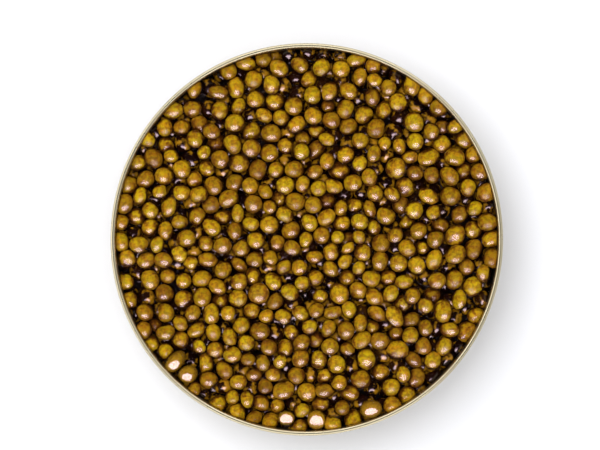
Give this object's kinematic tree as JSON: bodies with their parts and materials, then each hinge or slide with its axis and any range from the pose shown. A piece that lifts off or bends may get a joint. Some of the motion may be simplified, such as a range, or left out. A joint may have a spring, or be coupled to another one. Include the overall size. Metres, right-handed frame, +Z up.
{
  "type": "dish of osetra caviar",
  "caption": "Shallow round gold metal tin with a rolled rim and no lid, filled almost to the rim with loose golden-brown sturgeon roe.",
  "frame": {"origin": "middle of the plane that the tin's base ring stands on", "axes": "+Z up, along the tin's axis and out of its open mouth; +Y is the top of the picture and +X its right"},
  "size_m": [0.066, 0.066, 0.018],
  "materials": {
    "tin_metal": "satin pale gold lacquer over tinplate",
    "roe": "wet glossy translucent egg skin, golden with darker flanks"
  },
  "bodies": {
    "root": {"tin": "tin_metal", "roe": "roe"}
  },
  "joints": []
}
